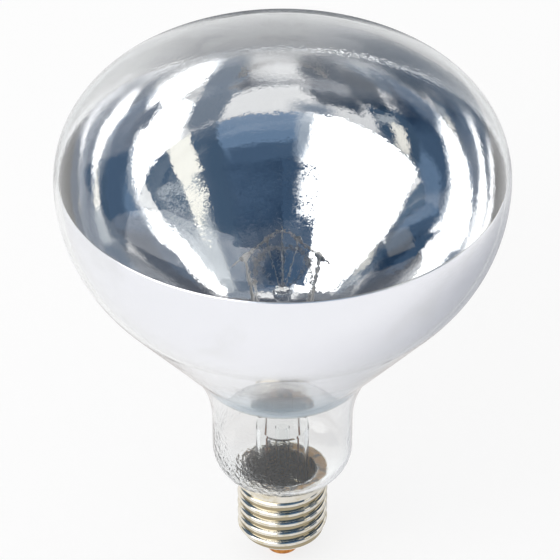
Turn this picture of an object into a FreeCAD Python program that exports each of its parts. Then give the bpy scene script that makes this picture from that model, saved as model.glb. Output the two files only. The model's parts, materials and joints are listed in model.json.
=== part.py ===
import FreeCAD, Part
import math
import os
from collections import namedtuple

import Sketcher

# A reflector heat lamp: a blown glass bulb with a mirrored bowl, a filament on a glass stem,
# and a screw cap. Millimetres. +Z runs along the axis from the cap to the crown, and the
# origin is on the contact face at the cap's foot.

SIZES = {
    # blown bulb
    "bulb_diameter": 125.0,
    "crown_height": 37.5,
    "crown_corner_radius": 26.0,
    "bowl_shoulder_radius": 49.0,
    "bowl_angle": 39.2,
    "neck_fillet_radius": 40.7,
    "neck_diameter": 40.2,
    "neck_length": 9.2,
    "neck_floor_gap": 0.8,
    "seal_depth": 10.2,
    "seal_fillet": 1.0,
    "glass_wall": 1.0,
    # mirror coat on the inside of the bowl, measured from the widest plane
    "coating_thickness": 0.15,
    "coating_rise": 3.0,
    "coating_drop": 66.5,
    # screw shell
    "cap_height": 29.4,
    "shell_foot_height": 7.0,
    "shell_foot_diameter": 21.0,
    "shell_lip_diameter": 19.4,
    "shell_wall": 0.3,
    "shell_collar_diameter": 26.6,
    "shell_collar_height": 2.2,
    "collar_flare_height": 1.0,
    "thread_root_diameter": 24.2,
    "thread_crest_diameter": 26.2,
    "thread_crest_radius": 1.025,
    "thread_root_radius": 0.6,
    "thread_pitch": 3.629,
    "thread_turns": 5.0,
    "thread_start": 2.2,
    # insulator, contact and solder at the foot of the cap
    "insulator_foot_diameter": 11.0,
    "insulator_bore_diameter": 3.0,
    "insulator_plug": 0.6,
    "contact_diameter": 9.6,
    "contact_height": 3.6,
    "contact_thickness": 0.5,
    "contact_edge_radius": 1.2,
    "contact_hole_diameter": 1.8,
    "eyelet_length": 2.0,
    "solder_recess": 0.15,
    "solder_floor": 0.5,
    "side_solder_diameter": 1.9,
    "cement_thickness": 1.7,
    # glass stem
    "stem_diameter": 15.0,
    "stem_wall": 1.0,
    "flare_height": 7.0,
    "stem_tube_length": 26.0,
    "press_taper": 8.0,
    "press_length": 6.0,
    "press_width": 13.0,
    "press_thickness": 4.0,
    "exhaust_diameter": 4.0,
    "exhaust_wall": 0.8,
    "exhaust_length": 30.0,
    "rod_diameter": 3.0,
    "rod_length": 29.0,
    "button_diameter": 5.2,
    # wires
    "lead_spacing": 9.0,
    "lead_diameter": 1.0,
    "lead_base": 2.0,
    "lead_bend_radius": 12.0,
    "lead_lean_angle": 8.0,
    "seal_wire_diameter": 0.5,
    "outer_lead_diameter": 0.5,
    "outer_lead_bend": 1.5,
    "rim_bend": 0.6,
    "clamp_diameter": 1.7,
    "clamp_length": 2.6,
    "support_diameter": 0.4,
    "support_loop_radius": 0.95,
    "support_depth": 1.4,
    "support_setback": 4.2,
    # filament coil, a V lying level, open towards the front
    "filament_height": 13.4,
    "filament_diameter": 1.0,
    "filament_angle": 54.5,
    "filament_tip_radius": 2.5,
    "filament_tail": 0.8,
    # clearances between pieces that seat on each other
    "fit_clearance": 0.05,
    "thread_step": 0.05,
}

doc = FreeCAD.newDocument("heat_lamp")
sheet = doc.addObject("Spreadsheet::Sheet", "Sizes")
for row, (alias, value) in enumerate(SIZES.items(), start=1):
    sheet.set(f"A{row}", str(value))
    sheet.setAlias(f"A{row}", alias)
doc.recompute()


class Size:
    """A size worked out from the sheet: its number, and the formula that properties are bound to."""

    def __init__(self, number, formula=None):
        self.number = float(number)
        self.formula = formula or repr(self.number)

    def _with(self, other, number, sign):
        return Size(number, f"({self.formula} {sign} {other.formula})")

    def __add__(self, other):
        other = as_size(other)
        return self._with(other, self.number + other.number, "+")

    def __sub__(self, other):
        other = as_size(other)
        return self._with(other, self.number - other.number, "-")

    def __mul__(self, other):
        other = as_size(other)
        return self._with(other, self.number * other.number, "*")

    def __truediv__(self, other):
        other = as_size(other)
        return self._with(other, self.number / other.number, "/")

    def __neg__(self):
        return Size(-self.number, f"(-{self.formula})")

    def root(self):
        return Size(math.sqrt(self.number), f"sqrt({self.formula})")

    def sine(self):
        return Size(math.sin(math.radians(self.number)), f"sin({self.formula})")

    def cosine(self):
        return Size(math.cos(math.radians(self.number)), f"cos({self.formula})")


def as_size(value):
    return value if isinstance(value, Size) else Size(value)


def size(alias):
    return Size(sheet.get(alias), f"Sizes.{alias}")


def hypotenuse(across, up):
    return (across * across + up * up).root()


def other_leg(slope, leg):
    return (slope * slope - leg * leg).root()


ZERO = Size(0)
Corner = namedtuple("Corner", "across up radius turn")


def corner(across, up, left=None, right=None):
    """A point of an outline. left or right is the radius of the bend from here to the next point."""
    return Corner(as_size(across), as_size(up), left or right, 1 if left else -1)


def backwards(corners):
    """The same line walked from its other end."""
    bends = [(c.radius, -c.turn) for c in corners[-2::-1]] + [(None, 1)]
    return [Corner(c.across, c.up, *bend) for c, bend in zip(reversed(corners), bends)]


def bent_edge(start, end, radius, turn):
    """The arc from start to end that turns left (1) or right (-1), the short way round."""
    chord = end - start
    middle = (start + end) * 0.5
    normal = FreeCAD.Vector(-chord.y, chord.x, 0).normalize() * turn
    rise = math.sqrt(max(radius ** 2 - (chord.Length / 2) ** 2, 0))
    crest = middle - normal * (radius - rise)
    return Part.Arc(start, crest, end)


def draw(sketch, corners, closed=True):
    """Draw an outline and bind each point, and each bend's radius, to the sheet."""
    points = [FreeCAD.Vector(c.across.number, c.up.number, 0) for c in corners]
    count = len(corners)
    stretches = count if closed else count - 1
    ends = []
    for index in range(stretches):
        here, start, end = corners[index], points[index], points[(index + 1) % count]
        if here.radius is None:
            sketch.addGeometry(Part.LineSegment(start, end), False)
        else:
            sketch.addGeometry(bent_edge(start, end, here.radius.number, here.turn), False)
        ends.append((1, 2) if here.radius is None or here.turn > 0 else (2, 1))

    def hold(formula, *constraint):
        number = sketch.addConstraint(Sketcher.Constraint(*constraint))
        if formula:
            sketch.setExpression(f"Constraints[{number}]", formula)

    for index in range(stretches if closed else stretches - 1):
        following = (index + 1) % stretches
        hold(None, "Coincident", index, ends[index][1], following, ends[following][0])
    for index, here in enumerate(corners):
        stretch, place = (index, 0) if index < stretches else (index - 1, 1)
        point = (stretch, ends[stretch][place])
        hold(here.across.formula, "DistanceX", -1, 1, *point, here.across.number)
        hold(here.up.formula, "DistanceY", -1, 1, *point, here.up.number)
        if index < stretches and here.radius is not None:
            hold(here.radius.formula, "Radius", index, here.radius.number)
    return sketch


def new_body(label):
    body = doc.addObject("PartDesign::Body", label)
    body.Label = label
    return body


def new_sketch(body, name, plane="XZ_Plane", lift=None):
    """A sketch on one of the body's own planes, moved along the plane's normal by lift."""
    sketch = body.newObject("Sketcher::SketchObject", f"{body.Label}_{name}")
    origin_plane = next(f for f in body.Origin.OriginFeatures if f.Role == plane)
    sketch.AttachmentSupport = [(origin_plane, "")]
    sketch.MapMode = "FlatFace"
    if lift is not None:
        sketch.setExpression("AttachmentOffset.Base.z", lift.formula)
    return sketch


def turned(body, name, corners, kind="Revolution"):
    """Turn an outline about the axis, as a solid or (kind Groove) as a cut."""
    sketch = draw(new_sketch(body, f"{name}_outline"), corners)
    feature = body.newObject(f"PartDesign::{kind}", f"{body.Label}_{name}")
    feature.Profile = sketch
    feature.ReferenceAxis = (sketch, ["V_Axis"])
    doc.recompute()
    return feature


def piped(body, name, path, diameter, kind="AdditivePipe"):
    """Run a round section along an open path that is already drawn."""
    doc.recompute()
    section = body.newObject("Sketcher::SketchObject", f"{body.Label}_{name}_section")
    section.AttachmentSupport = [(path, "Edge1")]
    section.MapMode = "NormalToEdge"
    circle = section.addGeometry(Part.Circle(FreeCAD.Vector(0, 0, 0), FreeCAD.Vector(0, 0, 1),
                                             diameter.number / 2), False)
    section.addConstraint(Sketcher.Constraint("Coincident", circle, 3, -1, 1))
    number = section.addConstraint(Sketcher.Constraint("Diameter", circle, diameter.number))
    section.setExpression(f"Constraints[{number}]", diameter.formula)
    pipe = body.newObject(f"PartDesign::{kind}", f"{body.Label}_{name}")
    pipe.Profile = section
    pipe.Spine = path
    doc.recompute()
    return pipe


def wire(label, corners, diameter, plane="XZ_Plane", lift=None):
    body = new_body(label)
    path = draw(new_sketch(body, "path", plane, lift), corners, closed=False)
    piped(body, "wire", path, diameter)
    return body


def cut_by(label, base, tools):
    """base with the room that each tool fills taken out of it."""
    for number, tool in enumerate(tools, start=1):
        cut = doc.addObject("Part::Cut", label if number == len(tools) else f"{label}_{number}")
        cut.Base = base
        cut.Tool = tool
        base = cut
    base.Label = label
    return base


clearance = size("fit_clearance")

# Radii and heights that several pieces share
bulb_radius = size("bulb_diameter") / 2
neck_radius = size("neck_diameter") / 2
root_radius = size("thread_root_diameter") / 2
crest_radius = size("thread_crest_diameter") / 2
collar_radius = size("shell_collar_diameter") / 2
foot_radius = size("shell_foot_diameter") / 2
lip_radius = size("shell_lip_diameter") / 2
shell_wall = size("shell_wall")
shell_bore = root_radius - shell_wall
rim_height = size("cap_height")
foot_height = size("shell_foot_height")
# the shell's foot tapers in at 45 degrees
taper_height = foot_height + root_radius - foot_radius
insulator_top = taper_height + size("insulator_plug")
seal_radius = shell_bore - size("cement_thickness")
floor_height = rim_height + size("neck_floor_gap")
seal_height = floor_height - size("seal_depth")
press_bottom = seal_height + size("stem_tube_length")
press_top = press_bottom + size("press_taper") + size("press_length")
button_height = press_top + size("rod_length") + size("button_diameter") / 2
coil_height = button_height + size("filament_height")

# Blown bulb: seal tube, neck, fillet, straight bowl, shoulder and crown, each tangent to the next
bowl_sine = size("bowl_angle").sine()
bowl_cosine = size("bowl_angle").cosine()
neck_corner = neck_radius - seal_radius - size("seal_fillet")
neck_low = floor_height + neck_corner
neck_top = neck_low + size("neck_length")
bowl_foot_radius = neck_radius + size("neck_fillet_radius") * (as_size(1) - bowl_cosine)
bowl_foot_height = neck_top + size("neck_fillet_radius") * bowl_sine
bowl_head_radius = bulb_radius - size("bowl_shoulder_radius") * (as_size(1) - bowl_cosine)
bowl_head_height = bowl_foot_height + (bowl_head_radius - bowl_foot_radius) * bowl_cosine / bowl_sine
widest_height = bowl_head_height + size("bowl_shoulder_radius") * bowl_sine
crown_top = widest_height + size("crown_height")
crown_corner = size("crown_corner_radius")
corner_centre = bulb_radius - crown_corner
front_radius = ((corner_centre * corner_centre + size("crown_height") * size("crown_height")
                 - crown_corner * crown_corner) / ((size("crown_height") - crown_corner) * 2))
front_across = corner_centre / (front_radius - crown_corner)
front_up = (front_radius - size("crown_height")) / (front_radius - crown_corner)


def bulb_line(inset):
    """The bulb's outline from the seal to the top of the crown, set in by inset."""
    inset = as_size(inset)
    front = front_radius - inset
    front_centre = crown_top - front_radius
    return [
        corner(seal_radius - inset, seal_height),
        corner(seal_radius - inset, floor_height - size("seal_fillet"), right=size("seal_fillet") + inset),
        corner(seal_radius + size("seal_fillet"), floor_height + inset, left=neck_corner - inset),
        corner(neck_radius - inset, neck_low),
        corner(neck_radius - inset, neck_top, right=size("neck_fillet_radius") + inset),
        corner(bowl_foot_radius - inset * bowl_cosine, bowl_foot_height + inset * bowl_sine),
        corner(bowl_head_radius - inset * bowl_cosine, bowl_head_height + inset * bowl_sine,
               left=size("bowl_shoulder_radius") - inset),
        corner(bulb_radius - inset, widest_height, left=crown_corner - inset),
        corner(front * front_across, front_centre + front * front_up, left=front),
        corner(ZERO, crown_top - inset),
    ]


def make_envelope():
    body = new_body("envelope")
    turned(body, "glass", bulb_line(0) + backwards(bulb_line(size("glass_wall"))))
    return body


def make_coating():
    """The mirror coat: a skin on the bowl's inner wall between two levels."""
    skin = new_body("coating_skin")
    inner = size("glass_wall") + size("coating_thickness")
    turned(skin, "film", bulb_line(size("glass_wall")) + backwards(bulb_line(inner)))
    band = doc.addObject("Part::Cylinder", "coating_band")
    band.setExpression("Radius", bulb_radius.formula)
    band.setExpression("Height", (size("coating_rise") + size("coating_drop")).formula)
    band.setExpression("Placement.Base.z", (widest_height - size("coating_drop")).formula)
    coating = doc.addObject("Part::Common", "reflector_coating")
    coating.Base = skin
    coating.Tool = band
    return coating


# Rolled knuckle thread: a round crest between two round roots, all arcs tangent
thread_depth = crest_radius - root_radius
arc_sum = size("thread_crest_radius") + size("thread_root_radius")
thread_half = (thread_depth * arc_sum * 2 - thread_depth * thread_depth).root()
thread_bottom = foot_height + size("thread_start")


def thread_section(side, centre_height, inset, depth_inside):
    """One knuckle in section, set in by inset. side is 1 or -1 for the half of the plane it lies in."""
    crest = size("thread_crest_radius") - inset
    root = size("thread_root_radius") + inset
    crest_centre = crest_radius - size("thread_crest_radius")
    flank_across = crest_centre + crest * (arc_sum - thread_depth) / arc_sum
    flank_up = crest * thread_half / arc_sum
    edge_across = root_radius - inset + size("thread_step")
    edge_up = thread_half - other_leg(root, root - size("thread_step"))
    bend, back = ("left", "right") if side > 0 else ("right", "left")
    inner = edge_across - depth_inside
    return [
        corner(inner * side, centre_height - edge_up),
        corner(edge_across * side, centre_height - edge_up, **{back: root}),
        corner(flank_across * side, centre_height - flank_up, **{bend: crest}),
        corner(flank_across * side, centre_height + flank_up, **{back: root}),
        corner(edge_across * side, centre_height + edge_up),
        corner(inner * side, centre_height + edge_up),
    ]


def rolled(body, name, plane, corners, turns, kind):
    sketch = draw(new_sketch(body, f"{name}_section", plane), corners)
    helix = body.newObject(f"PartDesign::{kind}", f"{body.Label}_{name}")
    helix.Profile = sketch
    helix.ReferenceAxis = (sketch, ["V_Axis"])
    helix.Mode = "pitch-turns-angle"
    helix.setExpression("Pitch", size("thread_pitch").formula)
    helix.setExpression("Turns", turns.formula)
    doc.recompute()
    return helix


def make_screw_shell():
    body = new_body("screw_shell")
    collar_height = rim_height - size("shell_collar_height")
    flare_height = collar_height - size("collar_flare_height")
    turned(body, "blank", [
        corner(ZERO, foot_height),
        corner(root_radius, foot_height),
        corner(root_radius, flare_height),
        corner(collar_radius, collar_height),
        corner(collar_radius, rim_height),
        corner(ZERO, rim_height),
    ])
    ridge = thread_section(1, thread_bottom, ZERO, shell_wall)
    rolled(body, "thread", "YZ_Plane", ridge, size("thread_turns"), "AdditiveHelix")
    outside = crest_radius - foot_radius + shell_wall
    turned(body, "foot_taper", [
        corner(foot_radius, foot_height),
        corner(foot_radius, foot_height - outside),
        corner(foot_radius + outside, foot_height - outside),
        corner(foot_radius + outside, foot_height + outside),
    ], "Groove")
    taper_offset = shell_wall * (math.sqrt(2) - 1)
    turned(body, "bore", [
        corner(ZERO, foot_height - shell_wall),
        corner(lip_radius, foot_height - shell_wall),
        corner(lip_radius, foot_height + shell_wall),
        corner(foot_radius - taper_offset, foot_height + shell_wall),
        corner(shell_bore, taper_height + taper_offset),
        corner(shell_bore, flare_height + shell_wall / 2),
        corner(collar_radius - shell_wall, collar_height + shell_wall / 2),
        corner(collar_radius - shell_wall, rim_height + shell_wall),
        corner(ZERO, rim_height + shell_wall),
    ], "Groove")
    quarter_turn = as_size(0.25)
    hollow_bottom = thread_bottom + size("thread_pitch") * quarter_turn
    hollow = thread_section(-1, hollow_bottom, shell_wall, shell_wall)
    turns = size("thread_turns") - quarter_turn * 2
    rolled(body, "thread_hollow", "XZ_Plane", hollow, turns, "SubtractiveHelix")
    return body


def make_cap_insulator():
    """Fused glass that fills the shell's foot and runs down into the contact's cup."""
    body = new_body("cap_insulator")
    bore = size("insulator_bore_diameter") / 2
    plug = size("contact_diameter") / 2 - size("contact_thickness") - clearance
    plug_edge = size("contact_edge_radius") - size("contact_thickness") - clearance
    plug_foot = size("contact_thickness") + clearance
    step = size("contact_height") + clearance
    lip = lip_radius - clearance
    ledge = foot_height + shell_wall + clearance
    taper_offset = shell_wall * (math.sqrt(2) - 1) + clearance
    turned(body, "glass", [
        corner(bore, plug_foot),
        corner(plug - plug_edge, plug_foot, left=plug_edge),
        corner(plug, plug_foot + plug_edge),
        corner(plug, step),
        corner(size("insulator_foot_diameter") / 2, step),
        corner(lip, foot_height),
        corner(lip, ledge),
        corner(foot_radius - taper_offset, ledge),
        corner(shell_bore - clearance, taper_height + taper_offset),
        corner(shell_bore - clearance, insulator_top),
        corner(bore, insulator_top),
    ])
    return body


def make_centre_contact():
    """A stamped cup with a rounded foot, and an eyelet that the centre lead comes down through."""
    body = new_body("centre_contact")
    hole = size("contact_hole_diameter") / 2
    eyelet = size("insulator_bore_diameter") / 2 - clearance
    edge = size("contact_edge_radius")
    contact_radius = size("contact_diameter") / 2
    sheet_thickness = size("contact_thickness")
    rim = size("contact_height")
    turned(body, "cup", [
        corner(hole, ZERO),
        corner(contact_radius - edge, ZERO, left=edge),
        corner(contact_radius, edge),
        corner(contact_radius, rim),
        corner(contact_radius - sheet_thickness, rim),
        corner(contact_radius - sheet_thickness, edge, right=edge - sheet_thickness),
        corner(contact_radius - edge, sheet_thickness),
        corner(eyelet, sheet_thickness),
        corner(eyelet, sheet_thickness + size("eyelet_length")),
        corner(hole, sheet_thickness + size("eyelet_length")),
    ])
    return body


lead_end = size("solder_recess") + size("solder_floor")


def make_contact_solder():
    """Solder in the contact's hole, with the end of the centre lead in it."""
    body = new_body("contact_solder")
    hole = size("contact_hole_diameter") / 2 - clearance
    lead = size("outer_lead_diameter") / 2
    turned(body, "plug", [
        corner(ZERO, size("solder_recess")),
        corner(hole, size("solder_recess")),
        corner(hole, lead_end + size("contact_thickness")),
        corner(lead, lead_end + size("contact_thickness")),
        corner(lead, lead_end),
        corner(ZERO, lead_end),
    ])
    return body


def make_stem_flare(seal_wires):
    """A glass tube flared to the seal at its foot and pressed flat over the seal wires at its head."""
    body = new_body("stem_glass")
    outer = size("stem_diameter") / 2
    inner = outer - size("stem_wall")
    rim = seal_radius - size("glass_wall") - clearance
    rim_inner = rim - size("stem_wall")
    flare = size("flare_height")

    def flare_radius(spread):
        return (spread * spread + flare * flare) / (spread * 2)

    turned(body, "tube", [
        corner(rim_inner, seal_height),
        corner(rim, seal_height, right=flare_radius(rim - outer)),
        corner(outer, seal_height + flare),
        corner(outer, press_bottom),
        corner(inner, press_bottom),
        corner(inner, seal_height + flare, left=flare_radius(rim_inner - inner)),
    ])
    half_width = size("press_width") / 2
    half_thick = size("press_thickness") / 2
    end_radius = half_thick * 1.25
    flat = half_width - half_thick / 2
    diagonal = outer / math.sqrt(2)
    round_section = [corner(diagonal * x, diagonal * y, left=outer)
                     for x, y in ((1, -1), (1, 1), (-1, 1), (-1, -1))]
    flat_section = [
        corner(flat, -half_thick, left=end_radius),
        corner(flat, half_thick),
        corner(-flat, half_thick, left=end_radius),
        corner(-flat, -half_thick),
    ]
    foot = draw(new_sketch(body, "press_foot", "XY_Plane", press_bottom), round_section)
    shoulder = press_bottom + size("press_taper")
    head = draw(new_sketch(body, "press_head", "XY_Plane", shoulder), flat_section)
    doc.recompute()
    taper = body.newObject("PartDesign::AdditiveLoft", "stem_press_taper")
    taper.Profile = foot
    taper.Sections = [head]
    doc.recompute()
    block = draw(new_sketch(body, "press_block", "XY_Plane", shoulder), flat_section)
    press = body.newObject("PartDesign::Pad", "stem_press")
    press.Profile = block
    press.setExpression("Length", size("press_length").formula)
    doc.recompute()
    return cut_by("stem_flare", body, seal_wires)


def make_exhaust_tube():
    body = new_body("exhaust_tube")
    outer = size("exhaust_diameter") / 2
    bore = outer - size("exhaust_wall")
    tip = press_bottom - size("exhaust_length")
    top = press_bottom - clearance
    turned(body, "glass", [
        corner(ZERO, tip, left=outer),
        corner(outer, tip + outer),
        corner(outer, top),
        corner(bore, top),
        corner(bore, tip + outer, right=bore),
        corner(ZERO, tip + size("exhaust_wall")),
    ])
    return body


def make_support_rod(supports):
    """A glass rod on the press with a button at its head that holds the support wires."""
    body = new_body("rod_glass")
    rod = size("rod_diameter") / 2
    button = size("button_diameter") / 2
    turned(body, "glass", [
        corner(ZERO, press_top + clearance),
        corner(rod, press_top + clearance),
        corner(rod, button_height - other_leg(button, rod), left=button),
        corner(ZERO, button_height + button),
    ])
    return cut_by("support_rod", body, supports)


# Lead wires: straight out of the press, a bend, then a straight lean out to the filament
lead_across = size("lead_spacing") / 2
lean_sine = size("lead_lean_angle").sine()
lean_cosine = size("lead_lean_angle").cosine()
lead_foot = press_top + clearance
bend_foot = lead_foot + size("lead_base")
bend_head = bend_foot + size("lead_bend_radius") * lean_sine
bend_across = lead_across + size("lead_bend_radius") * (as_size(1) - lean_cosine)
coil_across = bend_across + (coil_height - bend_head) * lean_sine / lean_cosine
leg_across = size("filament_angle").cosine()
leg_along = size("filament_angle").sine()


def leg_point(side, distance):
    """The point of a filament leg at a distance from its clamp, towards the tip."""
    return (coil_across - leg_across * distance) * side, leg_along * distance


def make_lead_wire(label, side):
    bend = {"right" if side > 0 else "left": size("lead_bend_radius")}
    body = wire(label, [
        corner(lead_across * side, lead_foot),
        corner(lead_across * side, bend_foot, **bend),
        corner(bend_across * side, bend_head),
        corner(coil_across * side, coil_height),
    ], size("lead_diameter"))
    half = size("clamp_length") / 2
    clamp = draw(new_sketch(body, "clamp_path", "XY_Plane", coil_height),
                 [corner(*leg_point(side, -half)), corner(*leg_point(side, half))], closed=False)
    piped(body, "clamp", clamp, size("clamp_diameter"))
    reach = half + size("clamp_diameter")
    hole = draw(new_sketch(body, "clamp_hole_path", "XY_Plane", coil_height),
                [corner(*leg_point(side, -reach)), corner(*leg_point(side, reach))], closed=False)
    piped(body, "clamp_hole", hole, size("filament_diameter") + clearance * 2, "SubtractivePipe")
    return body


def make_seal_wire(label, side):
    return wire(label, [
        corner(lead_across * side, press_bottom),
        corner(lead_across * side, press_top),
    ], size("seal_wire_diameter"))


tip = size("filament_tip_radius")
tip_along = (coil_across - tip * leg_along) * leg_along / leg_across


def make_filament():
    """The outer form of the coil: two straight legs and a round tip, with a tail past each clamp."""
    tail = size("clamp_length") / 2 + size("filament_tail")
    return wire("filament", [
        corner(*leg_point(-1, -tail)),
        corner(-(tip * leg_along), tip_along, right=tip),
        corner(tip * leg_along, tip_along),
        corner(*leg_point(1, -tail)),
    ], size("filament_diameter"), "XY_Plane", coil_height)


def make_support_wire(label, across, along):
    """A wire from the glass button to a loop round the coil, in the upright plane of that spot."""
    body = new_body(label)
    reach = hypotenuse(across, along)
    loop = size("support_loop_radius")
    root = size("button_diameter") / 2 - size("support_depth")
    path = draw(new_sketch(body, "path"), [
        corner(root, button_height + root),
        corner(reach, coil_height - loop),
    ], closed=False)
    piped(body, "wire", path, size("support_diameter"))
    ring = body.newObject("PartDesign::AdditiveTorus", f"{label}_loop")
    ring.AttachmentSupport = [(next(f for f in body.Origin.OriginFeatures if f.Role == "XZ_Plane"), "")]
    ring.MapMode = "FlatFace"
    ring.setExpression("AttachmentOffset.Base.x", reach.formula)
    ring.setExpression("AttachmentOffset.Base.y", coil_height.formula)
    ring.setExpression("Radius1", loop.formula)
    ring.setExpression("Radius2", (size("support_diameter") / 2).formula)
    azimuth = math.degrees(math.atan2(along.number, across.number))
    body.Placement = FreeCAD.Placement(FreeCAD.Vector(0, 0, 0),
                                       FreeCAD.Rotation(FreeCAD.Vector(0, 0, 1), azimuth))
    doc.recompute()
    return body


def make_support_wires():
    leg_length = (coil_across - tip * leg_along) / leg_across
    setback = leg_length - size("support_setback")
    crown = tip_along + tip * (as_size(1) - leg_across)
    return [
        make_support_wire("support_wire_left", *leg_point(-1, setback)),
        make_support_wire("support_wire_right", *leg_point(1, setback)),
        make_support_wire("support_wire_tip", ZERO, crown),
    ]


def make_outer_lead_centre():
    """From the right seal wire down the stem, over to the axis and into the contact's hole."""
    bend = lead_across / 2
    step = insulator_top + bend
    return wire("outer_lead_centre", [
        corner(lead_across, press_bottom - clearance),
        corner(lead_across, step + bend, right=bend),
        corner(bend, step, left=bend),
        corner(ZERO, insulator_top),
        corner(ZERO, lead_end),
    ], size("outer_lead_diameter"))


lead_gap = (seal_radius + shell_bore) / 2
rim_lead_along = other_leg(lead_gap, lead_across)
rim_solder_along = other_leg(collar_radius, lead_across)
rim_lead_height = rim_height + size("outer_lead_diameter")


def make_outer_lead_side():
    """From the left seal wire under the seal, up through the cement and over the shell's rim."""
    bend = size("outer_lead_bend")
    rim_bend = size("rim_bend")
    level = seal_height - bend - size("outer_lead_diameter")
    return wire("outer_lead_side", [
        corner(ZERO, press_bottom - clearance),
        corner(ZERO, level + bend, left=bend),
        corner(bend, level),
        corner(rim_lead_along - bend, level, left=bend),
        corner(rim_lead_along, level + bend),
        corner(rim_lead_along, rim_lead_height - rim_bend, right=rim_bend),
        corner(rim_lead_along + rim_bend, rim_lead_height),
        corner(rim_solder_along, rim_lead_height),
    ], size("outer_lead_diameter"), "YZ_Plane", -lead_across)


def make_side_solder(lead):
    """A bead on the outside of the collar that takes the end of the side lead."""
    bead = doc.addObject("Part::Sphere", "solder_bead")
    bead.setExpression("Radius", (size("side_solder_diameter") / 2).formula)
    bead.setExpression("Placement.Base.x", (-lead_across).formula)
    bead.setExpression("Placement.Base.y", rim_solder_along.formula)
    bead.setExpression("Placement.Base.z", rim_height.formula)
    collar = doc.addObject("Part::Cylinder", "solder_collar")
    collar.setExpression("Radius", (collar_radius + clearance).formula)
    collar.setExpression("Height", (rim_height + clearance).formula)
    return cut_by("side_solder", bead, [collar, lead])


def make_capping_cement(lead):
    """Cement between the seal tube and the shell, up to the shell's rim."""
    body = new_body("cement_ring")
    collar_height = rim_height - size("shell_collar_height") + shell_wall
    inner = seal_radius + clearance
    outer = shell_bore - clearance
    turned(body, "ring", [
        corner(inner, seal_height),
        corner(outer, seal_height),
        corner(outer, collar_height - size("collar_flare_height")),
        corner(collar_radius - shell_wall - clearance, collar_height),
        corner(collar_radius - shell_wall - clearance, rim_height),
        corner(inner, rim_height),
    ])
    return cut_by("capping_cement", body, [lead])


seal_wires = [make_seal_wire("seal_wire_left", -1), make_seal_wire("seal_wire_right", 1)]
support_wires = make_support_wires()
side_lead = make_outer_lead_side()
pieces = [
    make_envelope(),
    make_coating(),
    make_screw_shell(),
    make_cap_insulator(),
    make_centre_contact(),
    make_contact_solder(),
    make_capping_cement(side_lead),
    make_side_solder(side_lead),
    make_stem_flare(seal_wires),
    make_exhaust_tube(),
    make_support_rod(support_wires),
    make_lead_wire("lead_wire_left", -1),
    make_lead_wire("lead_wire_right", 1),
    make_filament(),
    make_outer_lead_centre(),
    side_lead,
] + seal_wires + support_wires
doc.recompute()

for item in doc.Objects:
    if "Invalid" in item.State or "Error" in item.State:
        raise RuntimeError(f"{item.Label} failed: {item.State}")
for piece in pieces:
    if piece.Shape.isNull() or not piece.Shape.isValid() or len(piece.Shape.Solids) != 1:
        raise RuntimeError(f"{piece.Label} is not one valid solid")

os.makedirs("parts", exist_ok=True)
for piece in pieces:
    piece.Shape.exportStep(f"parts/{piece.Label}.step")
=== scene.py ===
import json
import math

import bpy
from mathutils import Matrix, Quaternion, Vector


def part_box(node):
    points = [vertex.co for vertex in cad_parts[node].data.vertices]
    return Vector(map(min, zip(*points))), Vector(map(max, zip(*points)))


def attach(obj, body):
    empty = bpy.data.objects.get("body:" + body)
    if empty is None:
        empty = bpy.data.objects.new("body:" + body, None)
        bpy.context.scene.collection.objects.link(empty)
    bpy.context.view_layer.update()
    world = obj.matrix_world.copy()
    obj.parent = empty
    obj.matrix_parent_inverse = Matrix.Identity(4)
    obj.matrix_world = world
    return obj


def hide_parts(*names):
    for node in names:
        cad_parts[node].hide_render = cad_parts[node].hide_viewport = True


# A reflector heat lamp: a clear blown bulb with a mirrored bowl, a filament on a glass stem and a
# plated screw cap. Metres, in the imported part's frame: +Z runs from the cap to the crown.

MM = 0.001
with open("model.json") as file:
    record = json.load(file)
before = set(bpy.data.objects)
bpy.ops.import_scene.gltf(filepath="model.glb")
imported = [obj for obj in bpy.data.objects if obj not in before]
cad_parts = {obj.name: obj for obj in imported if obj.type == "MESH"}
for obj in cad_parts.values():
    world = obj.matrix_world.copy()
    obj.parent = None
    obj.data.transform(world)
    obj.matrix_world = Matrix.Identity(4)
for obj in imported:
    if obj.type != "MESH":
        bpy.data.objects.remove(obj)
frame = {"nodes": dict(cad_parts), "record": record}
nodes = frame["nodes"]
slots = {part["node"]: part["material_slot"] for part in frame["record"]["subparts"]}
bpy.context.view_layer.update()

# Bulb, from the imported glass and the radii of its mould
glass_low, glass_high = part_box("envelope")
film_low, film_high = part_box("reflector_coating")
BULB_RADIUS = glass_high.x
CROWN_TOP = glass_high.z
CROWN_HEIGHT = 37.5 * MM
CROWN_CORNER_RADIUS = 26.0 * MM
SHOULDER_RADIUS = 49.0 * MM
BOWL_ANGLE = math.radians(39.2)
NECK_FILLET_RADIUS = 40.7 * MM
NECK_RADIUS = 20.1 * MM
SEAL_RADIUS = 10.1 * MM
SEAL_FILLET = 1.0 * MM
NECK_FLOOR = glass_low.z + 10.2 * MM
GLASS_WALL = 1.0 * MM
WIDEST = CROWN_TOP - CROWN_HEIGHT
STIPPLE_RISE = 3 * MM
WRINKLES_LOW, WRINKLES_HIGH = 40 * MM, 54 * MM
GLASS_SPACING = 1.2 * MM
ROUND_STEPS = 192
GLASS_INDEX = 1.5
STEM_GLASS_INDEX = 1.48
THIN_GLASS_INDEX = 1.08

# Mirror film, with its fade and its thin part counted up from its foot, and its haze down from
# its upper edge
FILM_GAP = 0.02 * MM
FILM_THICKNESS = 0.1 * MM
FILM_SPACING = 0.7 * MM
FILM_FADE = 2 * MM
FILM_THIN, FILM_FULL = 7 * MM, 22 * MM
FILM_HAZE = 8 * MM
FILM_BOW = 0.5 * MM
BOW_MIDDLE = WIDEST - 44.6 * MM
BOW_REACH = 21.8 * MM

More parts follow.
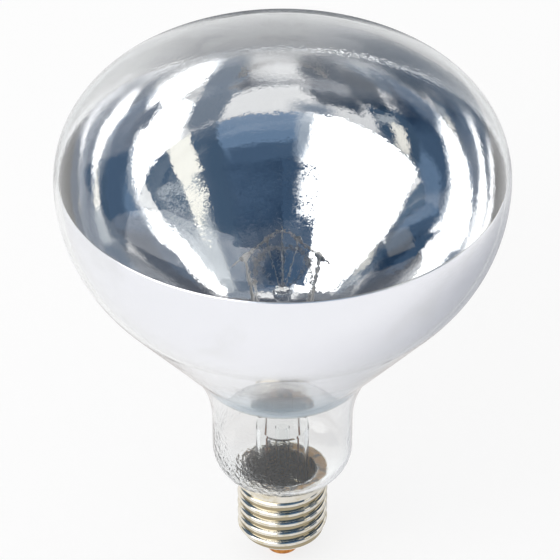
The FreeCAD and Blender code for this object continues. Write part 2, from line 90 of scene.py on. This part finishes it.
# Painted shade in the roots of the cap's thread: the radii and the heights over which it sets in
ROOT_SHADE_RADII = (12.6 * MM, 12.15 * MM)
ROOT_SHADE_HEIGHTS = (6 * MM, 8 * MM)

# Filament coil, drawn coarser than the real winding so that its turns show
coil_low, coil_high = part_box("filament")
COIL_ANGLE = math.radians(54.5)
COIL_TIP_RADIUS = 2.5 * MM
COIL_RADIUS = (coil_high.z - coil_low.z) / 2
COIL_HEIGHT = (coil_high.z + coil_low.z) / 2
COIL_WIRE_RADIUS = 0.17 * MM
COIL_PITCH = 0.78 * MM
COIL_TAIL = 3.5 * MM
COIL_WIRE_SIDES = 8
COIL_TURN_STEPS = 10
COIL_PATH_STEPS = 32

# Stage, in metres, and in degrees round the middle of the bulb
SOFTBOX_AZIMUTHS = (-84, -9)
SOFTBOX_ELEVATIONS = (2, 52)
SOFTBOX_DISTANCE = 2.5
SOFTBOX_POWER = 1.5 * math.pi  # watts for each square metre
FLOOR_SIZE = 12
FLOOR_LEVEL = -0.2 * MM
FLOOR_GLOW_SHARE = 0.75
SKY_LIGHT = 0.75

# Camera, with its focal length in widths of the picture
CAMERA_ELEVATION = math.radians(36.5)
CAMERA_DISTANCE = 1.0
CAMERA_FOCUS = 3590 / 560
CAMERA_AIM = Vector((-0.7 * MM, 0, WIDEST - 35.3 * MM))


# Small helpers


def colour(hex_code):
    """An sRGB hex colour as the linear RGBA that sockets take."""
    channels = [int(hex_code[i:i + 2], 16) / 255 for i in (1, 3, 5)]
    return [c / 12.92 if c <= 0.04045 else ((c + 0.055) / 1.055) ** 2.4 for c in channels] + [1.0]


def add(tree, kind, inputs=None, **settings):
    """A node with its settings. An input is a value, another node's socket, or a node, which stands
    for its first socket."""
    made = tree.nodes.new(f"ShaderNode{kind}")
    for name, value in settings.items():
        setattr(made, name, value)
    for socket, value in (inputs or {}).items():
        if isinstance(value, bpy.types.Node):
            value = value.outputs[0]
        if isinstance(value, bpy.types.NodeSocket):
            tree.links.new(value, made.inputs[socket])
        else:
            made.inputs[socket].default_value = value
    return made


def new_material(name):
    material = bpy.data.materials.new(name)
    material.use_nodes = True
    material.node_tree.nodes.clear()
    return material, material.node_tree


# Materials


def clear_blown_glass():
    """Soda-lime glass, blown in a mould: clear, glossy and a little wavy. The front has a fine
    stipple and is greyer where it is seen edge on. The sealing flame left wrinkles above the cap,
    most of them to the left."""
    material, tree = new_material("clear_blown_glass")
    place = add(tree, "TexCoord").outputs["Object"]
    swell = add(tree, "TexNoise", {"Vector": place, "Scale": 1 / (14 * MM)})
    waves = add(tree, "Bump", {"Height": swell, "Distance": 0.03 * MM})
    spot = add(tree, "SeparateXYZ", {"Vector": place}).outputs
    near_seal = add(tree, "MapRange", {
        "Value": spot["Z"], "From Min": WRINKLES_HIGH, "From Max": WRINKLES_LOW})
    left = add(tree, "MapRange", {
        "Value": spot["X"], "From Min": 3 * MM, "From Max": -5 * MM, "To Min": 0.1})
    scalded = add(tree, "Math", {0: near_seal, 1: left}, operation="MULTIPLY")
    creases = add(tree, "TexNoise", {"Vector": place, "Scale": 1 / (1.6 * MM)})
    wrinkles = add(tree, "Math", {0: creases, 1: scalded}, operation="MULTIPLY")
    relief = add(tree, "Bump", {"Height": wrinkles, "Distance": 0.3 * MM, "Normal": waves})
    front = add(tree, "MapRange", {
        "Value": spot["Z"], "From Min": film_high.z, "From Max": film_high.z + STIPPLE_RISE})
    grain = add(tree, "TexNoise", {"Vector": place, "Scale": 1 / (1.1 * MM), "Detail": 1.0})
    dimples = add(tree, "Math", {0: grain, 1: front}, operation="MULTIPLY")
    stipple = add(tree, "Bump", {"Height": dimples, "Distance": 0.011 * MM, "Normal": relief})
    slant = add(tree, "LayerWeight", {"Blend": 0.5}).outputs["Facing"]
    edge = add(tree, "MapRange", {"Value": slant, "From Min": 0.6, "From Max": 1.0})
    edge_on = add(tree, "Math", {0: edge, 1: front}, operation="MULTIPLY")
    tint = add(tree, "Mix", {
        0: edge_on, 6: colour("#fdfefe"), 7: colour("#a4adb4")}, data_type="RGBA")
    glass = add(tree, "BsdfPrincipled", {
        "Base Color": tint.outputs[2], "Transmission Weight": 1.0, "IOR": GLASS_INDEX,
        "Roughness": 0.0, "Normal": stipple})
    add(tree, "OutputMaterial", {"Surface": glass})
    return material


def aluminium_mirror():
    """The face of the evaporated film inside the bowl: a mirror with the orange peel of the glass
    under it, and a little hazy at its upper edge, where the film gets thin."""
    material, tree = new_material("aluminium_mirror")
    place = add(tree, "TexCoord").outputs["Object"]
    swell = add(tree, "TexNoise", {"Vector": place, "Scale": 1 / (14 * MM)})
    waves = add(tree, "Bump", {"Height": swell, "Distance": 0.1 * MM})
    grain = add(tree, "TexNoise", {"Vector": place, "Scale": 1 / (0.7 * MM), "Detail": 1.0})
    peel = add(tree, "Bump", {"Height": grain, "Distance": 0.010 * MM, "Normal": waves})
    height = add(tree, "SeparateXYZ", {"Vector": place}).outputs["Z"]
    solid = add(tree, "MapRange", {
        "Value": height, "From Min": film_low.z, "From Max": film_low.z + FILM_FADE})
    hazy = add(tree, "MapRange", {
        "Value": height, "From Min": film_high.z - FILM_HAZE, "From Max": film_high.z,
        "To Min": 0.02, "To Max": 0.25})
    mirror = add(tree, "BsdfPrincipled", {
        "Base Color": colour("#f4f4f5"), "Metallic": 1.0, "Roughness": hazy, "Normal": peel,
        "Alpha": solid})
    add(tree, "OutputMaterial", {"Surface": mirror})
    return material


def aluminium_film_back():
    """The back of the film, seen through the glass: pale satin with faint smudges, and blue-grey
    towards the neck, where the film gets thin."""
    material, tree = new_material("aluminium_film_back")
    place = add(tree, "TexCoord").outputs["Object"]
    height = add(tree, "SeparateXYZ", {"Vector": place}).outputs["Z"]
    thick = add(tree, "MapRange", {
        "Value": height, "From Min": film_low.z + FILM_THIN, "From Max": film_low.z + FILM_FULL},
        interpolation_type="SMOOTHSTEP")
    deposit = add(tree, "Mix", {
        0: thick, 6: colour("#b8ccdb"), 7: colour("#fbfaff")}, data_type="RGBA")
    patches = add(tree, "TexNoise", {"Vector": place, "Scale": 1 / (18 * MM), "Detail": 4.0})
    smudges = add(tree, "MapRange", {
        "Value": patches, "From Min": 0.55, "From Max": 0.8, "To Max": 0.3})
    tone = add(tree, "Mix", {
        0: smudges, 6: deposit.outputs[2], 7: colour("#cfcec9")}, data_type="RGBA")
    solid = add(tree, "MapRange", {
        "Value": height, "From Min": film_low.z, "From Max": film_low.z + FILM_FADE})
    satin = add(tree, "MapRange", {"Value": thick, "To Min": 0.55, "To Max": 0.25})
    shine = add(tree, "MapRange", {"Value": thick, "To Min": 0.4, "To Max": 1.0})
    film = add(tree, "BsdfPrincipled", {
        "Base Color": tone.outputs[2], "Metallic": shine, "Roughness": satin, "Alpha": solid})
    add(tree, "OutputMaterial", {"Surface": film})
    return material


def bare_metal(name, tone, rough):
    """A drawn or dull metal with one tone all over."""
    material, tree = new_material(name)
    metal = add(tree, "BsdfPrincipled", {
        "Base Color": colour(tone), "Metallic": 1.0, "Roughness": rough})
    add(tree, "OutputMaterial", {"Surface": metal})
    return material


def stamped_contact_copper():
    """Copper of the foot contact: satin from the stamp, with darker clouds of tarnish."""
    material, tree = new_material("stamped_contact_copper")
    place = add(tree, "TexCoord").outputs["Object"]
    clouds = add(tree, "TexNoise", {"Vector": place, "Scale": 1 / (1.2 * MM), "Detail": 4.0})
    share = add(tree, "MapRange", {"Value": clouds, "From Min": 0.45, "From Max": 0.7})
    shade = add(tree, "Mix", {
        0: share, 6: colour("#c98a4a"), 7: colour("#9a5a2c")}, data_type="RGBA")
    metal = add(tree, "BsdfPrincipled", {
        "Base Color": shade.outputs[2], "Metallic": 1.0, "Roughness": 0.32})
    add(tree, "OutputMaterial", {"Surface": metal})
    return material


def bright_nickel_plate():
    """Nickel on rolled brass: bright, yellowish in clouds, with painted shade in the thread's
    roots.
    """
    material, tree = new_material("bright_nickel_plate")
    place = add(tree, "TexCoord").outputs["Object"]
    clouds = add(tree, "TexNoise", {"Vector": place, "Scale": 1 / (2.5 * MM), "Detail": 4.0})
    share = add(tree, "MapRange", {"Value": clouds, "From Min": 0.45, "From Max": 0.7})
    plate = add(tree, "Mix", {
        0: share, 6: colour("#e8e3d8"), 7: colour("#d4c9ae")}, data_type="RGBA")
    level = add(tree, "VectorMath", {0: place, 1: (1, 1, 0)}, operation="MULTIPLY")
    radius = add(tree, "VectorMath", {0: level}, operation="LENGTH").outputs["Value"]
    root = add(tree, "MapRange", {
        "Value": radius, "From Min": ROOT_SHADE_RADII[0], "From Max": ROOT_SHADE_RADII[1]})
    height = add(tree, "SeparateXYZ", {"Vector": place}).outputs["Z"]
    thread = add(tree, "MapRange", {
        "Value": height, "From Min": ROOT_SHADE_HEIGHTS[0], "From Max": ROOT_SHADE_HEIGHTS[1]})
    # Painted shade: the plate is darkened in the roots of the thread, where shade falls between the
    # turns
    painted_root_shade = add(tree, "Math", {0: root, 1: thread}, operation="MULTIPLY")
    tone = add(tree, "Mix", {0: painted_root_shade, 6: plate.outputs[2], 7: colour("#a99d82")}, data_type="RGBA")
    metal = add(tree, "BsdfPrincipled", {
        "Base Color": tone.outputs[2], "Metallic": 1.0, "Roughness": 0.09})
    add(tree, "OutputMaterial", {"Surface": metal})
    return material


def fused_black_glass():
    """Insulating glass, melted into the cap: black and glossy."""
    material, tree = new_material("fused_black_glass")
    glass = add(tree, "BsdfPrincipled", {
        "Base Color": colour("#101013"), "Roughness": 0.15, "IOR": GLASS_INDEX})
    add(tree, "OutputMaterial", {"Surface": glass})
    return material


def baked_cement():
    """Capping cement, baked on the lamp: dull and grainy, dark brown, with lumps of ochre that get
    more frequent to one side, where the flame was weaker."""
    material, tree = new_material("baked_cement")
    place = add(tree, "TexCoord").outputs["Object"]
    grain = add(tree, "TexNoise", {"Vector": place, "Scale": 1 / (0.6 * MM), "Detail": 3.0})
    burnt = add(tree, "Mix", {
        0: grain, 6: colour("#241f1a"), 7: colour("#6a5640")}, data_type="RGBA")
    clods = add(tree, "TexNoise", {"Vector": place, "Scale": 1 / (3 * MM), "Detail": 3.0})
    sideways = add(tree, "SeparateXYZ", {"Vector": place}).outputs["X"]
    pale_side = add(tree, "MapRange", {
        "Value": sideways, "From Min": -8 * MM, "From Max": 12 * MM,
        "To Min": -0.1, "To Max": 0.16})
    piled = add(tree, "Math", {0: clods, 1: pale_side}, operation="ADD")
    lumps = add(tree, "MapRange", {"Value": piled, "From Min": 0.5, "From Max": 0.64})
    tone = add(tree, "Mix", {0: lumps, 6: burnt.outputs[2], 7: colour("#d6a35a")}, data_type="RGBA")
    relief = add(tree, "Bump", {"Height": clods, "Distance": 1.2 * MM})
    rough = add(tree, "Bump", {"Height": grain, "Distance": 0.3 * MM, "Normal": relief})
    cement = add(tree, "BsdfPrincipled", {
        "Base Color": tone.outputs[2], "Roughness": 0.8, "Normal": rough})
    add(tree, "OutputMaterial", {"Surface": cement})
    return material


def flame_worked_glass(name, index):
    """Lead glass of the stem: clear and glossy, shaped in the flame. A low index keeps thin tube
    faint."""
    material, tree = new_material(name)
    glass = add(tree, "BsdfPrincipled", {
        "Base Color": colour("#fbfcfc"), "Transmission Weight": 1.0, "IOR": index,
        "Roughness": 0.0})
    add(tree, "OutputMaterial", {"Surface": glass})
    return material


finishes = {
    "clear_glass": clear_blown_glass(),
    "nickel_plate": bright_nickel_plate(),
    "black_glass": fused_black_glass(),
    "contact_copper": stamped_contact_copper(),
    "solder": bare_metal("tin_solder", "#a3a3a6", 0.35),
    "cement": baked_cement(),
    "stem_glass": flame_worked_glass("flame_worked_glass", STEM_GLASS_INDEX),
    "nickel_wire": bare_metal("drawn_nickel_wire", "#cfcbc6", 0.35),
    "copper_wire": bare_metal("drawn_copper_wire", "#7d5a48", 0.3),
    "support_wire": bare_metal("molybdenum_wire", "#b9b8b8", 0.4),
    "tungsten": bare_metal("coiled_tungsten", "#d2cdc9", 0.5),
}
for node, slot in slots.items():
    if slot in finishes:
        nodes[node].data.materials.clear()
        nodes[node].data.materials.append(finishes[slot])
thin_glass = flame_worked_glass("thin_stem_glass", THIN_GLASS_INDEX)
for node in ("stem_flare", "exhaust_tube"):
    nodes[node].data.materials[0] = thin_glass


# Pieces


def finish_piece(piece, node):
    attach(piece, "root")
    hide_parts(node)
    return piece


def arc_points(centre, radius, start, end, spacing):
    """Points round an arc of the outline, from one angle to another, without the last one."""
    count = max(2, math.ceil(abs(end - start) * radius / spacing))
    angles = [start + (end - start) * step / count for step in range(count)]
    return [(centre[0] + radius * math.cos(a), centre[1] + radius * math.sin(a)) for a in angles]


def line_points(start, end, spacing):
    """Points along a straight of the outline, without the last one."""
    count = max(1, math.ceil(math.dist(start, end) / spacing))
    way = (end[0] - start[0], end[1] - start[1])
    return [(start[0] + way[0] * step / count, start[1] + way[1] * step / count)
            for step in range(count)]


def bulb_outline(inset, spacing):
    """Radius and height of points up the bulb, from the seal to the crown, on a line that is set in
    from the outside."""
    sine, cosine = math.sin(BOWL_ANGLE), math.cos(BOWL_ANGLE)
    neck_corner = NECK_RADIUS - SEAL_RADIUS - SEAL_FILLET
    shoulder_centre = (BULB_RADIUS - SHOULDER_RADIUS, WIDEST)
    corner_centre = (BULB_RADIUS - CROWN_CORNER_RADIUS, WIDEST)
    bowl_head = (shoulder_centre[0] + SHOULDER_RADIUS * cosine, WIDEST - SHOULDER_RADIUS * sine)
    foot_radius = NECK_RADIUS + NECK_FILLET_RADIUS * (1 - cosine)
    bowl_foot = (foot_radius, bowl_head[1] - (bowl_head[0] - foot_radius) * cosine / sine)
    neck_top = bowl_foot[1] - NECK_FILLET_RADIUS * sine
    fillet_centre = (NECK_RADIUS + NECK_FILLET_RADIUS, neck_top)
    seal_centre = (SEAL_RADIUS + SEAL_FILLET, NECK_FLOOR - SEAL_FILLET)
    neck_centre = (SEAL_RADIUS + SEAL_FILLET, NECK_FLOOR + neck_corner)
    front_radius = ((corner_centre[0] ** 2 + CROWN_HEIGHT ** 2 - CROWN_CORNER_RADIUS ** 2)
                    / (2 * (CROWN_HEIGHT - CROWN_CORNER_RADIUS)))
    front_centre = (0, CROWN_TOP - front_radius)
    front_angle = math.acos(corner_centre[0] / (front_radius - CROWN_CORNER_RADIUS))
    shift = (-inset * cosine, inset * sine)
    right = math.pi / 2
    return (
        line_points((SEAL_RADIUS - inset, glass_low.z),
                    (SEAL_RADIUS - inset, seal_centre[1]), spacing)
        + arc_points(seal_centre, SEAL_FILLET + inset, math.pi, right, spacing / 2)
        + arc_points(neck_centre, neck_corner - inset, -right, 0, spacing / 2)
        + line_points((NECK_RADIUS - inset, neck_centre[1]),
                      (NECK_RADIUS - inset, neck_top), spacing)
        + arc_points(fillet_centre, NECK_FILLET_RADIUS + inset,
                     math.pi, math.pi - BOWL_ANGLE, spacing)
        + line_points((bowl_foot[0] + shift[0], bowl_foot[1] + shift[1]),
                      (bowl_head[0] + shift[0], bowl_head[1] + shift[1]), spacing)
        + arc_points(shoulder_centre, SHOULDER_RADIUS - inset, -BOWL_ANGLE, 0, spacing)
        + arc_points(corner_centre, CROWN_CORNER_RADIUS - inset, 0, front_angle, spacing)
        + arc_points(front_centre, front_radius - inset, front_angle, right, spacing)
    )


def drawn_up(name, outline, closed=False):
    """A ring that is raised along an outline, one extrusion for each of its points."""
    bpy.ops.object.select_all(action="DESELECT")
    radius, level = outline[0]
    bpy.ops.mesh.primitive_circle_add(vertices=ROUND_STEPS, radius=radius, location=(0, 0, level))
    piece = bpy.context.object
    piece.name = name
    bpy.ops.object.transform_apply(location=True)
    bpy.ops.object.mode_set(mode="EDIT")
    bpy.ops.mesh.select_all(action="SELECT")
    for next_radius, next_level in outline[1:]:
        rise = (0, 0, next_level - level)
        bpy.ops.mesh.extrude_region_move(TRANSFORM_OT_translate={"value": rise})
        scale = next_radius / radius
        bpy.ops.transform.resize(value=(scale, scale, 1), center_override=(0, 0, next_level))
        radius, level = next_radius, next_level
    if closed:
        bpy.ops.mesh.edge_face_add()
        bpy.ops.mesh.poke()
    bpy.ops.mesh.select_all(action="SELECT")
    bpy.ops.mesh.normals_make_consistent(inside=False)
    bpy.ops.object.mode_set(mode="OBJECT")
    bpy.ops.object.shade_smooth()
    return piece


def make_bulb_glass():
    """The blown bulb: its outside is drawn up from the seal to the crown, with a wall inwards."""
    bulb = drawn_up("bulb_glass", bulb_outline(0, GLASS_SPACING), closed=True)
    bulb.data.materials.append(finishes["clear_glass"])
    bpy.ops.object.modifier_add(type="SOLIDIFY")
    wall = bulb.modifiers[-1]
    wall.thickness = GLASS_WALL
    wall.offset = -1.0
    bpy.ops.object.modifier_apply(modifier=wall.name)
    return finish_piece(bulb, "envelope")


def bowed(point):
    """A point of the film, moved out by the slow bow that a blown bowl has between its bends."""
    share = max(-1, min(1, (point[1] - BOW_MIDDLE) / BOW_REACH))
    bow = FILM_BOW * math.cos(share * math.pi / 2) ** 2
    return point[0] + bow * math.cos(BOWL_ANGLE), point[1] - bow * math.sin(BOWL_ANGLE)


def make_mirror_film():
    """The film on the bowl's inner wall, with its satin back to the glass and its mirror inside."""
    line = bulb_outline(GLASS_WALL + FILM_GAP + FILM_BOW, FILM_SPACING)
    outline = [bowed(point) for point in line if film_low.z <= point[1] <= film_high.z]
    film = drawn_up("mirror_film", outline)
    film.data.materials.append(aluminium_film_back())
    film.data.materials.append(aluminium_mirror())
    film.data.materials.append(bare_metal("film_rim", "#8f7d55", 0.4))
    bpy.ops.object.modifier_add(type="SOLIDIFY")
    wall = film.modifiers[-1]
    wall.thickness = FILM_THICKNESS
    wall.offset = -1.0
    wall.material_offset = 1
    wall.material_offset_rim = 2
    bpy.ops.object.modifier_apply(modifier=wall.name)
    return finish_piece(film, "reflector_coating")


def make_coil_path():
    """The V that the coil lies along: two straight legs and a round tip. Gives its length too."""
    across, along = math.cos(COIL_ANGLE), math.sin(COIL_ANGLE)
    end_x = coil_high.x - COIL_RADIUS * along
    end_y = coil_low.y + COIL_RADIUS * across
    bend_x = COIL_TIP_RADIUS * along
    bend_y = coil_high.y - COIL_RADIUS - COIL_TIP_RADIUS * (1 - across)
    leg = math.hypot(end_x - bend_x, bend_y - end_y)
    pull = COIL_TIP_RADIUS * math.tan(COIL_ANGLE / 2) * 4 / 3
    turns = [
        ((-end_x, end_y), leg / 3, (across, along)),
        ((-bend_x, bend_y), pull, (across, along)),
        ((bend_x, bend_y), pull, (across, -along)),
        ((end_x, end_y), leg / 3, (across, -along)),
    ]
    bpy.ops.object.select_all(action="DESELECT")
    bpy.ops.curve.primitive_bezier_curve_add(enter_editmode=True)
    bpy.ops.curve.select_all(action="SELECT")
    bpy.ops.curve.subdivide(number_cuts=2)
    bpy.ops.object.mode_set(mode="OBJECT")
    path = bpy.context.object
    path.data.resolution_u = COIL_PATH_STEPS
    for point, ((x, y), reach, (way_x, way_y)) in zip(path.data.splines[0].bezier_points, turns):
        point.handle_left_type = point.handle_right_type = "FREE"
        point.co = (x, y, COIL_HEIGHT)
        point.handle_left = (x - way_x * reach, y - way_y * reach, COIL_HEIGHT)
        point.handle_right = (x + way_x * reach, y + way_y * reach, COIL_HEIGHT)
    return path, 2 * leg + 2 * COIL_ANGLE * COIL_TIP_RADIUS


def make_filament_coil():
    """Tungsten wire, wound by a screw from its round section and laid along the V, with a straight
    tail past each clamp."""
    path, length = make_coil_path()
    turns = math.floor(length / COIL_PITCH)
    offset = COIL_RADIUS - COIL_WIRE_RADIUS
    bpy.ops.object.select_all(action="DESELECT")
    bpy.ops.mesh.primitive_circle_add(
        vertices=COIL_WIRE_SIDES, radius=COIL_WIRE_RADIUS, location=(0, offset, 0))
    coil = bpy.context.object
    coil.name = "filament_coil"
    bpy.ops.object.transform_apply(location=True)
    bpy.ops.object.modifier_add(type="SCREW")
    winding = coil.modifiers[-1]
    winding.axis = "X"
    winding.screw_offset = length / turns
    winding.iterations = turns
    winding.steps = winding.render_steps = COIL_TURN_STEPS
    bpy.ops.object.modifier_apply(modifier=winding.name)
    bpy.ops.object.mode_set(mode="EDIT")
    bpy.ops.mesh.select_all(action="SELECT")
    bpy.ops.mesh.fill_holes(sides=COIL_WIRE_SIDES)
    bpy.ops.mesh.select_all(action="SELECT")
    bpy.ops.mesh.normals_make_consistent(inside=False)
    bpy.ops.object.mode_set(mode="OBJECT")
    tails = []
    for middle in (-COIL_TAIL / 2, length + COIL_TAIL / 2):
        bpy.ops.object.select_all(action="DESELECT")
        bpy.ops.mesh.primitive_cylinder_add(
            vertices=COIL_WIRE_SIDES, radius=COIL_WIRE_RADIUS,
            depth=COIL_TAIL + 2 * COIL_WIRE_RADIUS, location=(middle, offset, 0),
            rotation=(0, math.pi / 2, 0))
        bpy.ops.object.transform_apply(location=True, rotation=True)
        tails.append(bpy.context.object)
    bpy.ops.object.select_all(action="DESELECT")
    for piece in tails + [coil]:
        piece.select_set(True)
    bpy.context.view_layer.objects.active = coil
    bpy.ops.object.join()
    bpy.ops.object.modifier_add(type="CURVE")
    laying = coil.modifiers[-1]
    laying.object = path
    laying.deform_axis = "POS_X"
    bpy.ops.object.modifier_apply(modifier=laying.name)
    bpy.ops.object.shade_smooth()
    bpy.data.objects.remove(path)
    coil.data.materials.append(finishes["tungsten"])
    return finish_piece(coil, "filament")


make_bulb_glass()
make_mirror_film()
make_filament_coil()


# Stage


def glowing(name, tone, soft_across, soft_along, mirrored, strength=1.0):
    """A card's glow, which fades out towards its edges over shares of its half width and height. A
    mirrored one is seen in reflections only. Any other one is seen through glass or in a
    reflection, but not in a mirror behind glass."""
    material, tree = new_material(name)
    place = add(tree, "SeparateXYZ", {"Vector": add(tree, "TexCoord").outputs["Object"]})
    across = add(tree, "Math", {0: place.outputs["X"]}, operation="ABSOLUTE")
    along = add(tree, "Math", {0: place.outputs["Y"]}, operation="ABSOLUTE")
    inner_x = add(tree, "MapRange", {
        "Value": across, "From Min": 0.5, "From Max": 0.5 - 0.5 * soft_across},
        interpolation_type="SMOOTHSTEP")
    inner_y = add(tree, "MapRange", {
        "Value": along, "From Min": 0.5, "From Max": 0.5 - 0.5 * soft_along},
        interpolation_type="SMOOTHSTEP")
    path = add(tree, "LightPath").outputs
    # Depths are whole numbers, so a half parts none from one or more
    if mirrored:
        shown = add(tree, "Math", {0: path["Glossy Depth"], 1: 0.5}, operation="GREATER_THAN")
    else:
        both = add(tree, "Math", {0: path["Glossy Depth"], 1: path["Transmission Depth"]},
                   operation="MINIMUM")
        shown = add(tree, "Math", {0: both, 1: 0.5}, operation="LESS_THAN")
    inner = add(tree, "Math", {0: inner_x, 1: inner_y}, operation="MULTIPLY")
    share = add(tree, "Math", {0: inner, 1: shown}, operation="MULTIPLY")
    glow = add(tree, "Emission", {"Color": colour(tone), "Strength": strength})
    faded = add(tree, "MixShader", {0: share, 1: add(tree, "BsdfTransparent"), 2: glow})
    add(tree, "OutputMaterial", {"Surface": faded})
    return material


def seen_in_mirrors(card):
    """A card that only mirrors and glass show."""
    card.visible_camera = False
    card.visible_diffuse = False
    card.visible_shadow = False


def direction(azimuth, elevation):
    """The way to a point of the room. Azimuth 0 is the camera's side, and 90 is +X."""
    azimuth, elevation = math.radians(azimuth), math.radians(elevation)
    level = math.cos(elevation)
    return Vector((math.sin(azimuth) * level, -math.cos(azimuth) * level, math.sin(elevation)))


def card_size(azimuths, elevations, distance):
    """Width and height of a card that fills these angles at this distance."""
    height = math.radians(sum(elevations) / 2)
    return (2 * distance * math.tan(math.radians(azimuths[1] - azimuths[0]) / 2) * math.cos(height),
            2 * distance * math.tan(math.radians(elevations[1] - elevations[0]) / 2))


def make_card(name, azimuths, elevations, tone, distance, soft=0.02, turn=0, strength=1.0):
    """A flat card that faces the middle of the bulb, between two azimuths and two elevations. A
    turn lowers its end at the higher azimuth."""
    away = direction(sum(azimuths) / 2, sum(elevations) / 2)
    bpy.ops.object.select_all(action="DESELECT")
    bpy.ops.mesh.primitive_plane_add(size=1, location=away * distance + Vector((0, 0, WIDEST)))
    card = bpy.context.object
    card.name = name
    card.rotation_mode = "QUATERNION"
    spin = Quaternion((0, 0, 1), math.radians(turn))
    card.rotation_quaternion = (-away).to_track_quat("Z", "Y") @ spin
    card.scale = (*card_size(azimuths, elevations, distance), 1)
    card.data.materials.append(glowing(name, tone, soft, soft, True, strength))
    seen_in_mirrors(card)


def make_level_card(name, across, along, level, tone, soft_across, soft_along, mirrored=False):
    """A card that lies level, as a mat on the floor or a ceiling."""
    bpy.ops.object.select_all(action="DESELECT")
    bpy.ops.mesh.primitive_plane_add(size=1, location=(sum(across) / 2, sum(along) / 2, level))
    card = bpy.context.object
    card.name = name
    card.scale = (across[1] - across[0], along[1] - along[0], 1)
    card.data.materials.append(glowing(name, tone, soft_across, soft_along, mirrored))
    seen_in_mirrors(card)


def make_softbox():
    """The one lamp: large and soft, to the left of the camera. The mirror shows it as a white
    panel."""
    away = direction(sum(SOFTBOX_AZIMUTHS) / 2, sum(SOFTBOX_ELEVATIONS) / 2)
    middle = away * SOFTBOX_DISTANCE + Vector((0, 0, WIDEST))
    bpy.ops.object.light_add(type="AREA", location=middle)
    lamp = bpy.context.object
    lamp.name = "softbox"
    lamp.rotation_mode = "QUATERNION"
    lamp.rotation_quaternion = (-away).to_track_quat("-Z", "Y")
    lamp.data.shape = "RECTANGLE"
    lamp.data.size, lamp.data.size_y = card_size(
        SOFTBOX_AZIMUTHS, SOFTBOX_ELEVATIONS, SOFTBOX_DISTANCE)
    lamp.data.energy = SOFTBOX_POWER * lamp.data.size * lamp.data.size_y
    lamp.visible_camera = False


def make_floor():
    """A white floor. The camera sees part of it as matt, so that it takes a faint shadow, and
    mirrors and glass see it as plain white."""
    bpy.ops.object.select_all(action="DESELECT")
    bpy.ops.mesh.primitive_plane_add(size=FLOOR_SIZE, location=(0, 0, FLOOR_LEVEL))
    floor = bpy.context.object
    floor.name = "floor"
    material, tree = new_material("pale_floor")
    matt = add(tree, "BsdfDiffuse", {"Color": colour("#ffffff")})
    glow = add(tree, "Emission", {"Color": colour("#ffffff"), "Strength": 1.0})
    share = add(tree, "MapRange", {
        "Value": add(tree, "LightPath").outputs["Is Camera Ray"],
        "To Min": 1.0, "To Max": FLOOR_GLOW_SHARE})
    add(tree, "OutputMaterial", {"Surface": add(tree, "MixShader", {0: share, 1: matt, 2: glow})})
    floor.data.materials.append(material)


def make_world():
    """White all round, at full strength where it is seen and weaker where it only lights."""
    world = bpy.data.worlds.new("studio")
    bpy.context.scene.world = world
    world.use_nodes = True
    tree = world.node_tree
    tree.nodes.clear()
    path = add(tree, "LightPath")
    seen = add(tree, "Math", {0: path.outputs["Is Camera Ray"], 1: path.outputs["Is Glossy Ray"]},
               operation="MAXIMUM")
    seen = add(tree, "Math", {0: seen, 1: path.outputs["Is Transmission Ray"]}, operation="MAXIMUM")
    strength = add(tree, "MapRange", {"Value": seen, "To Min": SKY_LIGHT, "To Max": 1.0})
    sky = add(tree, "Background", {"Color": colour("#ffffff"), "Strength": strength})
    add(tree, "OutputWorld", {"Surface": sky})


def make_camera():
    camera_data = bpy.data.cameras.new("camera")
    camera_data.sensor_width = 36.0
    camera_data.lens = CAMERA_FOCUS * camera_data.sensor_width
    camera = bpy.data.objects.new("camera", camera_data)
    bpy.context.scene.collection.objects.link(camera)
    back = Vector((0, -math.cos(CAMERA_ELEVATION), math.sin(CAMERA_ELEVATION)))
    camera.location = CAMERA_AIM + back * CAMERA_DISTANCE
    camera.rotation_mode = "QUATERNION"
    camera.rotation_quaternion = (-back).to_track_quat("-Z", "Y")
    camera_data.clip_start = 0.01
    camera_data.clip_end = 50
    bpy.context.scene.camera = camera


# The room that mirror and glass show. The wall in front of the lamp:
make_card("wall_low", (-11, 36), (-4, 40), "#728caa", 2.6)
make_card("wall_high", (-15, 40), (28, 46), "#4d647f", 2.56, soft=0.35)
make_card("wall_top", (-20, 50), (38, 66), "#293e57", 2.42, soft=0.5)
make_card("wall_corner", (-30, 2), (40.7, 60), "#435a75", 2.4)
make_card("wall_edge", (-19, -6), (-4, 46), "#aebac8", 2.45, soft=0.8)
# The right side:
make_card("wall_right", (28, 88), (0, 47), "#4a6078", 2.65)
make_card("cream_window", (51.5, 67), (10, 33.5), "#fffcf2", 2.5, turn=8, strength=1.2)
make_card("pale_shelf", (54, 92), (28.8, 40.3), "#bac2c9", 2.55, soft=0.4, turn=21)
# The left side, and then the right side and the back:
make_card("blue_side", (-125, -84), (4, 62), "#5f7389", 2.5, soft=0.08)
make_card("dark_right", (90, 156), (25, 66), "#2f4359", 2.6, soft=0.4)
make_card("dark_high_right", (54, 98), (44, 66), "#2a3e53", 2.62, soft=0.2)
make_card("blue_behind", (122, 180), (-12, 36), "#74869a", 2.7, soft=0.8)
# The ceiling and the floor:
make_level_card("dark_ceiling", (-2.2, 2.2), (-2.4, 1.6), 2.6, "#1f3047", 0.6, 0.4, mirrored=True)
make_level_card("shaded_floor", (-0.05, 0.29), (-0.15, 0.3), 0.3 * MM, "#c4c6cc", 0.9, 0.9,
                mirrored=True)
make_level_card("grey_mat_behind", (-0.1, 0.12), (0.1, 0.7), 0.2 * MM, "#6e7177", 0.7, 0.3)
make_level_card("warm_mat", (-0.08, 0.08), (0.02, 0.2), 0.4 * MM, "#e6e3e2", 0.4, 0.4)
make_softbox()
make_floor()
make_world()
make_camera()
bpy.context.scene.view_settings.view_transform = "Standard"
